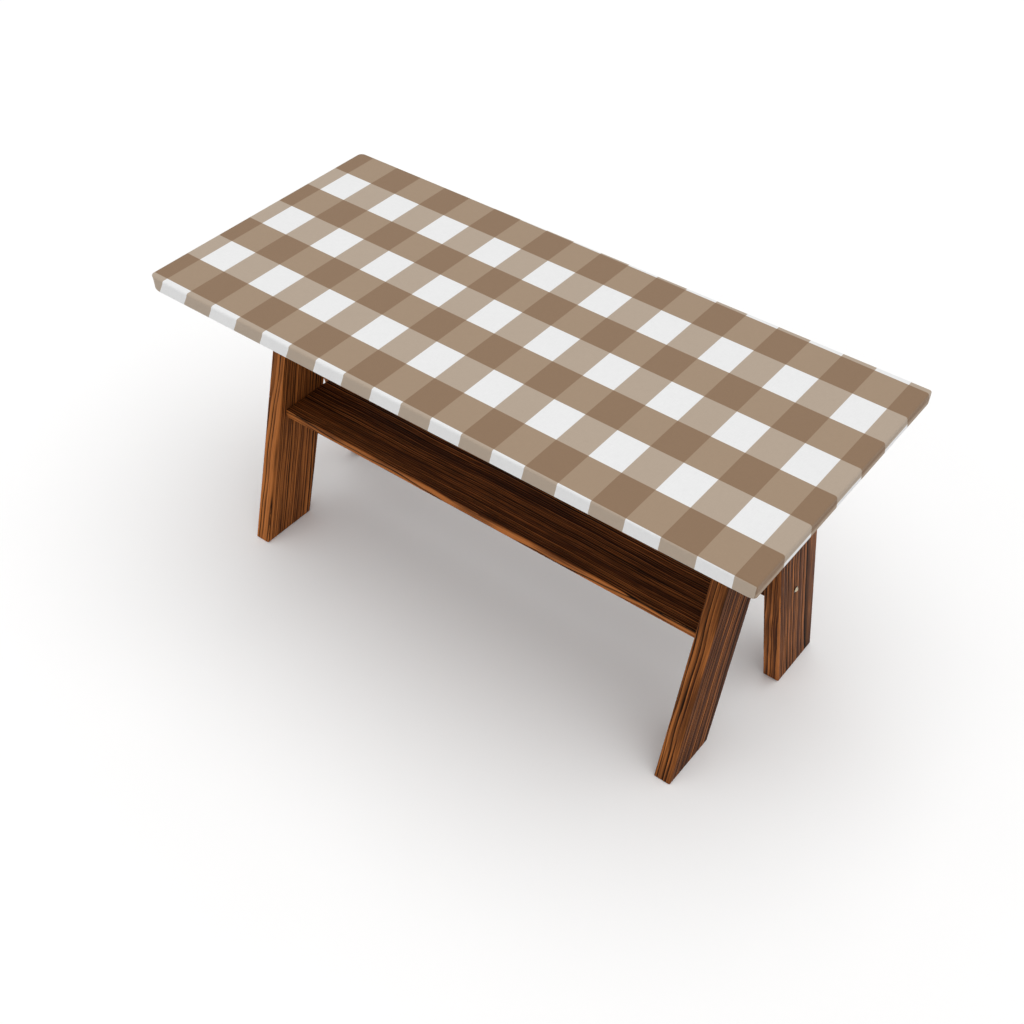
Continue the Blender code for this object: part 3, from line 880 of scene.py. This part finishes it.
class Plank:
    """One sawn plank: how its grain lies, and where its pith ran in the tree.

    rows turns a point into (along, across, deep), each a sum of x, y, z and a constant.
    """

    def __init__(self, rows, number, ring, pith=(0.080, -0.110), climb=0.03):
        self.rows = rows
        self.number = number
        self.ring = ring
        spin = PITH_TURN * number
        self.pith = (pith[0] * (1 + 0.5 * math.cos(spin)),
                     pith[1] * (1 + 0.2 * math.sin(1.7 * spin)))
        self.climb = climb * math.sin(spin + 0.8)
        self.bends = ((0.0040, 5.1, spin), (0.0011, 19.0, 2 * spin), (0.0004, 47.0, spin + 2))
        self.lifts = ((0.0040, 3.7, spin + 1), (0.0014, 13.0, 3 * spin))

    def measured(self, x, y, z):
        """The point in the plank's own directions, for arrays and for signals."""
        return [sum_of(row, (x, y, z)) for row in self.rows]

    def rings(self, along, across, deep, sine, root):
        """Growth rings between the pith and a point: distance over the ring's width.

        The pith line wanders and climbs along the plank, which draws the arches. Two slow
        waves of the count itself make some rings wide and some narrow.
        """
        bend = total([sine(along * rate + start) * size for size, rate, start in self.bends])
        lift = total([sine(along * rate + start) * size for size, rate, start in self.lifts])
        a = across - self.pith[0] - bend
        b = deep - self.pith[1] - along * self.climb - lift
        count = root(a * a + b * b) * (1.0 / self.ring)
        return count + sine(count * 0.9 + self.number) * 0.35 + sine(count * 2.3) * 0.22


def total(terms):
    """The sum of a list of arrays or signals."""
    result = terms[0]
    for term in terms[1:]:
        result = result + term
    return result


def sum_of(row, axes):
    """Weighted sum of three arrays or signals, leaving out weights of nought."""
    terms = [axis * weight for axis, weight in zip(axes, row[:3]) if weight]
    return total(terms) + row[3]


def charred_finish(look, plank, name, wear_and_light=None, dark=0.0):
    """Charred and brushed pine that follows the plank's growth rings.

    Late wood is a burnt line at the end of each ring. Early wood runs from brown to
    amber, and more of it is amber where the plank shows wear, which on the arrises also
    carries a painted highlight. The dark shift darkens the whole plank.
    """
    made = Finish(name, Specular_IOR_Level=0.07)
    along, across, deep = plank.measured(*made.axes(made.place()))
    slow = made.noise(made.vector(along * 1.6, across * 11.0, deep * 11.0 + plank.number), 1.0, 2.0)
    fine = made.noise(made.vector(along * 7.0, across * 330.0, deep * 330.0), 1.0, 4.0, 0.7)
    fibre = made.noise(made.vector(along * 26.0, across * 1100.0, deep * 1100.0), 1.0, 2.0, 0.6)
    count = plank.rings(along, across, deep, Signal.sine, Signal.root)
    count = count + (slow - 0.5) * 0.9 + (fine - 0.5) * 0.30
    part, ring = count.part(), count.whole()
    chance = made.random(ring + plank.number * 31.0)
    line = part.between(0.36, 0.80) * (1.0 - part.between(0.92, 1.0))
    line = line.power(1.3) * (chance * 0.80 + 0.50)
    patch = made.noise(made.vector(along * 2.4, across * 70.0, deep * 70.0 + 7.0), 1.0, 3.0)
    # The dark shift darkens the whole plank; on the legs it is partly char and partly painted light and
    # shade.
    warm = patch.between(0.36, 0.66) * 0.62 + (1.0 - part.between(0.05, 0.6)) * 0.34 - dark
    warm = warm + (chance - 0.5) * 0.45
    if wear_and_light is not None:
        wear_and_light_fac = made.signal("ShaderNodeAttribute", {"attribute_name": wear_and_light}, {}, "Fac")
        # Where the mask is high, on the arrises and the shelf's narrow faces, the extra amber is partly
        # wear and partly a painted highlight.
        warm = warm + wear_and_light_fac * (0.22 + 0.60 * fine) + wear_and_light_fac.between(0.66, 0.90) * 0.45
        line = line * (1.0 - wear_and_light_fac * 0.45)
    warm = (warm - 0.12 + (fine - 0.5) * 1.7).clamped()
    colour = made.mixed(warm, look.brown, look.amber)
    streak = (fibre - 0.5) * 1.2 + (fine - 0.5) * 2.6
    burnt = (line + (0.16 - streak * 0.55).clamped() * 0.9).clamped()
    colour = made.mixed(burnt, colour, look.char)
    height = fine * 0.5 + fibre * 0.35 - line * 0.9
    roughness = 0.56 + line * 0.22 + (fibre - 0.5) * 0.25
    return made.finish(colour, roughness, height, 0.0009, 0.7)


def outline(width, thick, ease, step):
    """A closed round-cornered section as its inner line and its outward ways.

    Point = inner + ease * way. The inner line is the rectangle less its easing.
    """
    core_w, core_t = width / 2 - ease, thick / 2 - ease
    inner, ways = [], []
    for quarter, (sa, sb) in enumerate(((1, 1), (-1, 1), (-1, -1), (1, -1))):
        angle = math.pi / 2 * (quarter + np.linspace(0, 1, 4))
        inner.append(np.repeat([[sa * core_w, sb * core_t]], 4, axis=0))
        ways.append(np.stack([np.cos(angle), np.sin(angle)], axis=1))
        na, nb = ((-1, 1), (-1, -1), (1, -1), (1, 1))[quarter]
        span = 2 * (core_w if quarter % 2 == 0 else core_t)
        count = max(2, int(round(span / step)))
        share = np.linspace(0, 1, count + 1)[1:-1, None]
        here, there = np.array([sa * core_w, sb * core_t]), np.array([na * core_w, nb * core_t])
        inner.append(here + (there - here) * share)
        ways.append(np.repeat(ways[-1][-1:], count - 1, axis=0))
    return np.concatenate(inner), np.concatenate(ways)


def carved_plank(name, plank, span, width, thick, look, material, node, scuffed_and_lit=0.62):
    """A plank whose faces are brushed along its growth rings, with eased, worn edges.

    The section is carried from one end to the other. At each end it draws in on a
    quarter round, and every point sinks by relief * (how far it is into late wood).
    Its narrow faces take the share of wear that the last argument gives, and its arrises
    take nearly all of it, as wear with a painted highlight.
    """
    inner, ways = outline(width, thick, look.ease, CARVE_ACROSS)
    arc = np.linspace(0, math.pi / 2, 4)
    tucked = look.ease * (1 - np.sin(arc))
    start, stop = span
    places = int((stop - start) / CARVE_ALONG)
    inside = np.linspace(start + look.ease, stop - look.ease, places)[1:-1]
    along = np.concatenate([start + look.ease * (1 - np.cos(arc)), inside,
                            stop - look.ease * (1 - np.cos(arc[::-1]))])
    draw = np.concatenate([tucked, np.zeros(inside.size), tucked[::-1]])
    offset = (look.ease - draw)[:, None, None] * ways
    section = inner + offset
    run = np.broadcast_to(along[:, None], section.shape[:2])
    count = plank.rings(run, section[..., 0], section[..., 1], np.sin, np.sqrt)
    part = count - np.floor(count)
    late = 0.5 - 0.5 * np.cos(TURN * (part - 0.25))
    edge = 1 - np.abs(np.abs(ways[:, 0]) - np.abs(ways[:, 1]))
    wander = np.sin(TURN * run / 0.037 + plank.number)
    wander = wander * np.sin(TURN * run / 0.011 + 2 * section[..., 0])
    chipped = CHIP_DEPTH * edge * np.clip(wander, 0, 1) ** 2
    sunk = (look.relief * late + chipped)[..., None] * ways
    section = section - sunk
    to_frame = np.linalg.inv(np.vstack([plank.rows, [0, 0, 0, 1]]))
    full = np.concatenate([run[..., None], section, np.ones((*run.shape, 1))], axis=-1)
    points = (full @ to_frame.T)[..., :3]
    numbers = np.arange(run.size).reshape(run.shape)
    closed = np.concatenate([numbers, numbers[:, :1]], axis=1)
    faces = cells(closed).tolist() + [numbers[0].tolist(), numbers[-1, ::-1].tolist()]
    narrow = np.abs(ways[:, 0]) if width > thick else np.abs(ways[:, 1])
    # The mask: wear on the narrow faces, and on the arrises wear with a painted highlight.
    wear_and_light = np.clip(scuffed_and_lit * narrow ** 4 + 0.9 * edge, 0, 1)
    wear_and_light = np.broadcast_to(wear_and_light, run.shape) * (0.8 + 0.2 * np.sin(TURN * run / 0.23 + plank.number))
    made = make_piece(name, points.reshape(-1, 3), faces, material, values=wear_and_light)
    set_outward(made)
    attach(made, "table")
    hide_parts(node)


def middle(node):
    """The middle and size of a CAD node's box."""
    low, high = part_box(node)
    return (low + high) / 2, high - low


def node_points(node):
    """The corners of a CAD node's mesh, one row each."""
    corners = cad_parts[node].data.vertices
    co = np.empty(3 * len(corners), np.float32)
    corners.foreach_get("co", co)
    return co.reshape(-1, 3).astype(float)


def refinish(node, material):
    """Give a CAD node a new material."""
    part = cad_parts[node]
    part.data.materials.clear()
    part.data.materials.append(material)


def lean_of(node):
    """How far a leg leans across the table for each metre of height."""
    co = node_points(node)
    low, high = co[:, 2].min(), co[:, 2].max()
    foot = co[co[:, 2] < low + 0.002, 1]
    head = co[co[:, 2] > high - 0.002, 1]
    return ((head.min() + head.max()) - (foot.min() + foot.max())) / 2 / (high - low)


class TABLE_OT_legs(bpy.types.Operator):
    """Carve the four leaning legs"""

    bl_idname = "table.legs"
    bl_label = "Legs"

    def execute(self, context):
        look = context.scene.timber_look
        number = LEG_PLANKS
        for end in ("left", "right"):
            for row in ("front", "back"):
                node = f"leg_{end}_{row}"
                centre, size = middle(node)
                lean = lean_of(node)
                rows = [[0, 0, 1, 0], [0, 1, -lean, -centre.y + lean * centre.z],
                        [1, 0, 0, -centre.x]]
                width = size.y - abs(lean) * size.z
                plank = Plank(rows, number, look.ring)
                finish = charred_finish(look, plank, f"charred_{node}", "wear_and_light", LEG_CHAR_AND_PAINTED_LIGHT[end, row])
                carved_plank(f"carved_{node}", plank, (0.0, size.z), width, size.x, look,
                             finish, node)
                number += 1
        return {"FINISHED"}


class TABLE_OT_shelf(bpy.types.Operator):
    """Carve the two boards of the low shelf"""

    bl_idname = "table.shelf"
    bl_label = "Shelf boards"

    def execute(self, context):
        look = context.scene.timber_look
        for number, row in enumerate(("front", "back"), SHELF_PLANKS):
            node = f"shelf_board_{row}"
            centre, size = middle(node)
            rows = [[1, 0, 0, 0], [0, 1, 0, -centre.y], [0, 0, 1, -centre.z]]
            plank = Plank(rows, number, look.ring * 0.85, (0.17, -0.09), 0.012)
            finish = charred_finish(look, plank, f"charred_{node}", "wear_and_light", 0.08)
            carved_plank(f"carved_{node}", plank, (-size.x / 2, size.x / 2), size.y, size.z,
                         look, finish, node, scuffed_and_lit=0.95)
        return {"FINISHED"}


class TABLE_OT_frame(bpy.types.Operator):
    """Finish the boards of the top, the bearers, rails and spacers in charred pine"""

    bl_idname = "table.frame"
    bl_label = "Boards and bearers"

    def execute(self, context):
        look = context.scene.timber_look
        number = FRAME_PLANKS
        for node in sorted(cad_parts):
            kind = node.split("_")[0]
            if kind not in ("top", "bearer") and not node.startswith(("shelf_rail", "shelf_spacer")):
                continue
            centre, _ = middle(node)
            if kind == "top":
                rows = [[1, 0, 0, 0], [0, 1, 0, -centre.y], [0, 0, 1, -centre.z]]
            else:
                rows = [[0, 1, 0, 0], [0, 0, 1, -centre.z], [1, 0, 0, -centre.x]]
            plank = Plank(rows, number, look.ring, climb=0.04)
            refinish(node, charred_finish(look, plank, f"charred_{node}"))
            number += 1
        return {"FINISHED"}


def zinc_finish(name, wear_and_light=None):
    """Yellow zinc plate with a faint spangle and dull patches, and near-black painted shade where the
    mask is low.
    """
    made = Finish(name)
    made.shader.inputs["Metallic"].default_value = 1.0
    place = made.place()
    spangle = made.noise(place, 420.0, 2.0)
    dull = made.noise(place, 90.0, 3.0)
    colour = made.mixed(dull.between(0.35, 0.7), (0.68, 0.59, 0.41), (0.40, 0.33, 0.23))
    colour = made.mixed(spangle * 0.35, colour, (0.80, 0.73, 0.55))
    if wear_and_light is not None:
        wear_and_light_fac = made.signal("ShaderNodeAttribute", {"attribute_name": wear_and_light}, {}, "Fac")
        # Painted shade: near black on the rim and underside of the head and on the shank, where the
        # head sits against the wood.
        colour = made.mixed(wear_and_light_fac, (0.035, 0.024, 0.017), colour)
    return made.finish(colour, 0.26 + dull * 0.25, spangle + dull, 0.0002, 0.4)


def turned_piece(name, node, profile, base, way, material, bright):
    """A turned piece: a profile of (height, radius) carried round its axis, ends closed.

    The rings from bright onwards keep the zinc colour, and the rest, the shank and the rim and
    underside of the head, is painted near black as shade.
    """
    angle = np.linspace(0, TURN, BOLT_SIDES, endpoint=False)
    height, radius = np.array(profile).T
    ring = np.stack([np.broadcast_to(height[:, None], (height.size, BOLT_SIDES)),
                     radius[:, None] * np.cos(angle), radius[:, None] * np.sin(angle)], axis=-1)
    points = ring.reshape(-1, 3) * (way, 1, 1) + np.array(base)
    numbers = np.arange(height.size * BOLT_SIDES).reshape(-1, BOLT_SIDES)
    closed = np.concatenate([numbers, numbers[:, :1]], axis=1)
    faces = cells(closed).tolist() + [numbers[0].tolist(), numbers[-1, ::-1].tolist()]
    # 1 on the dome, 0 on the rings that get painted shade.
    scuffed_and_lit = np.repeat(np.arange(height.size) >= bright, BOLT_SIDES)
    made = make_piece(name, points, faces, material, values=scuffed_and_lit)
    set_outward(made)
    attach(made, "table")
    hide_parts(node)


class TABLE_OT_fixings(bpy.types.Operator):
    """Turn the bolts and coach screws, and finish the nuts and board screws in zinc"""

    bl_idname = "table.fixings"
    bl_label = "Fixings"

    def execute(self, context):
        finish = zinc_finish("zinc_plate")
        # The bolts' zinc, with painted shade on the rim of the head.
        scuffed_and_lit = zinc_finish("zinc_bolt", "wear_and_light")
        for node in sorted(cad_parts):
            if "nut" in node or node.startswith("board_screw"):
                refinish(node, finish)
            elif "bolt" in node or "coach" in node:
                self.bolt(node, scuffed_and_lit)
        return {"FINISHED"}

    def bolt(self, node, finish):
        """A domed head on a plain shank, with a collar under the head and an eased tip."""
        low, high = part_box(node)
        co = node_points(node)
        radius = (high.y - low.y) / 2
        centre_y = (low.y + high.y) / 2
        centre_z = (low.z + high.z) / 2
        far = np.hypot(co[:, 1] - centre_y, co[:, 2] - centre_z)
        wide = co[far > 0.9 * radius, 0]
        head_high = abs(wide.mean() - high.x) < abs(wide.mean() - low.x)
        way = 1 if head_high else -1
        tip, crown = (low.x, high.x) if head_high else (high.x, low.x)
        length = abs(crown - tip)
        under = length - HEAD_DOME
        curve = np.linspace(0, math.pi / 2, 9)[:-1]
        shank = SHANK_RADIUS
        profile = [(0.0, shank * 0.72), (0.0008, shank * 0.95), (0.0016, shank),
                   (under - 0.0003, shank), (under, shank), (under, radius * 0.96)]
        profile += [(under + 0.0005, radius * 0.98), (under + 0.0006, radius * 0.72)]
        # The rings before this one, up to the rim of the head, get painted shade.
        bright = len(profile)
        rise = HEAD_DOME - 0.0008
        profile += [(under + 0.0008 + rise * math.sin(a), 0.70 * radius * math.cos(a))
                    for a in curve]
        profile += [(length, radius * 0.05)]
        base = (tip, centre_y, centre_z)
        turned_piece("turned_" + node, node, profile, base, way, finish, bright)


def floor_finish():
    """Matt pale floor with a barely visible mottle."""
    made = Finish("pale_floor", Specular_IOR_Level=0.2)
    mottle = made.noise(made.place(), 2.5, 3.0)
    colour = made.mixed(mottle, (0.945, 0.945, 0.945), (0.965, 0.964, 0.962))
    return made.finish(colour, 0.85 + mottle * 0.1, mottle, 0.0002, 0.1)


def area_light(name, place, target, size, power, colour):
    """A soft square light that points at a target."""
    light = bpy.data.lights.new(name, "AREA")
    light.size = size
    light.energy = power
    light.color = colour
    lamp = bpy.data.objects.new(name, light)
    lamp.location = place
    lamp.rotation_mode = "QUATERNION"
    lamp.rotation_quaternion = (Vector(target) - Vector(place)).to_track_quat("-Z", "Y")
    bpy.context.scene.collection.objects.link(lamp)


class StageLook(bpy.types.PropertyGroup):
    """Strength of the studio light."""

    sky: bpy.props.FloatProperty(
        name="Sky", description="Strength of the even white surroundings",
        default=0.54, min=0.0, max=3.0)
    key: bpy.props.FloatProperty(
        name="Key", description="Power of the large light in front and to the left, in watts",
        default=4.2, min=0.0, max=2000.0)
    overhead: bpy.props.FloatProperty(
        name="Overhead", description="Strength of the wide, soft light from above",
        default=1.68, min=0.0, max=20.0)


class TABLE_OT_stage(bpy.types.Operator):
    """Set the pale floor, the soft lights and the camera"""

    bl_idname = "table.stage"
    bl_label = "Stage"

    def execute(self, context):
        look = context.scene.stage_look
        scene = context.scene
        half = FLOOR_HALF
        corners = [(x * half, y * half, -FLOOR_DROP) for x, y in ((-1, -1), (1, -1), (1, 1), (-1, 1))]
        floor = make_piece("floor", corners, [[0, 1, 2, 3]], floor_finish(), smooth=False)
        floor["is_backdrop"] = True
        world = bpy.data.worlds.new("studio")
        world.use_nodes = True
        sky = world.node_tree.nodes["Background"]
        sky.inputs["Color"].default_value = (1.0, 1.0, 1.0, 1.0)
        sky.inputs["Strength"].default_value = look.sky
        scene.world = world
        area_light("key", KEY_PLACE, KEY_TARGET, KEY_SIZE, look.key, KEY_COLOUR)
        light = bpy.data.lights.new("overhead", "SUN")
        light.energy = look.overhead
        light.angle = math.radians(OVERHEAD_SPREAD)
        lamp = bpy.data.objects.new("overhead", light)
        lamp.rotation_mode = "QUATERNION"
        lamp.rotation_quaternion = Vector(OVERHEAD_AIM).to_track_quat("-Z", "Y")
        scene.collection.objects.link(lamp)
        scene.view_settings.view_transform = "Standard"
        self.camera(scene)
        return {"FINISHED"}

    def camera(self, scene):
        """A camera above the right front corner, set by its place, turn, tilt and roll."""
        turn, tilt, roll = (math.radians(a) for a in (CAMERA_TURN, CAMERA_TILT, CAMERA_ROLL))
        flat = math.cos(tilt)
        ahead = Vector((math.sin(turn) * flat, math.cos(turn) * flat, -math.sin(tilt)))
        level = Vector((math.cos(turn), -math.sin(turn), 0.0))
        up = level.cross(ahead)
        side = math.cos(roll) * level + math.sin(roll) * up
        top = math.cos(roll) * up - math.sin(roll) * level
        data = bpy.data.cameras.new("camera")
        data.sensor_width = SENSOR_WIDTH
        data.lens = CAMERA_LENS
        camera = bpy.data.objects.new("camera", data)
        camera.rotation_mode = "QUATERNION"
        camera.location = CAMERA_PLACE
        camera.rotation_quaternion = Matrix((side, top, -ahead)).transposed().to_quaternion()
        scene.collection.objects.link(camera)
        scene.camera = camera


class TABLE_PT_build(bpy.types.Panel):
    """List the steps in the sidebar."""

    bl_label = "Picnic table"
    bl_idname = "TABLE_PT_build"
    bl_space_type = "VIEW_3D"
    bl_region_type = "UI"
    bl_category = "Picnic table"

    def draw(self, context):
        for look in ("cover_look", "timber_look", "stage_look"):
            holder = getattr(context.scene, look)
            for key in holder.__annotations__:
                self.layout.prop(holder, key)
        for step in STEPS:
            self.layout.operator(step.bl_idname)


STEPS = (TABLE_OT_stage, TABLE_OT_seams, TABLE_OT_cloth, TABLE_OT_elastic, TABLE_OT_hem,
         TABLE_OT_legs, TABLE_OT_shelf, TABLE_OT_frame, TABLE_OT_fixings)
LOOKS = {"cover_look": CoverLook, "timber_look": TimberLook, "stage_look": StageLook}


def register():
    """Register the settings, the operators and the panel."""
    for cls in (*LOOKS.values(), *STEPS, TABLE_PT_build):
        bpy.utils.register_class(cls)
    for name, cls in LOOKS.items():
        setattr(bpy.types.Scene, name, bpy.props.PointerProperty(type=cls))


def unregister():
    """Take the settings, the operators and the panel away again."""
    for name in LOOKS:
        delattr(bpy.types.Scene, name)
    for cls in reversed((*LOOKS.values(), *STEPS, TABLE_PT_build)):
        bpy.utils.unregister_class(cls)


def main():
    """Build everything in order."""
    register()
    for step in STEPS:
        name = step.bl_idname.split(".")[1]
        getattr(bpy.ops.table, name)()


if __name__ == "__main__":
    main()
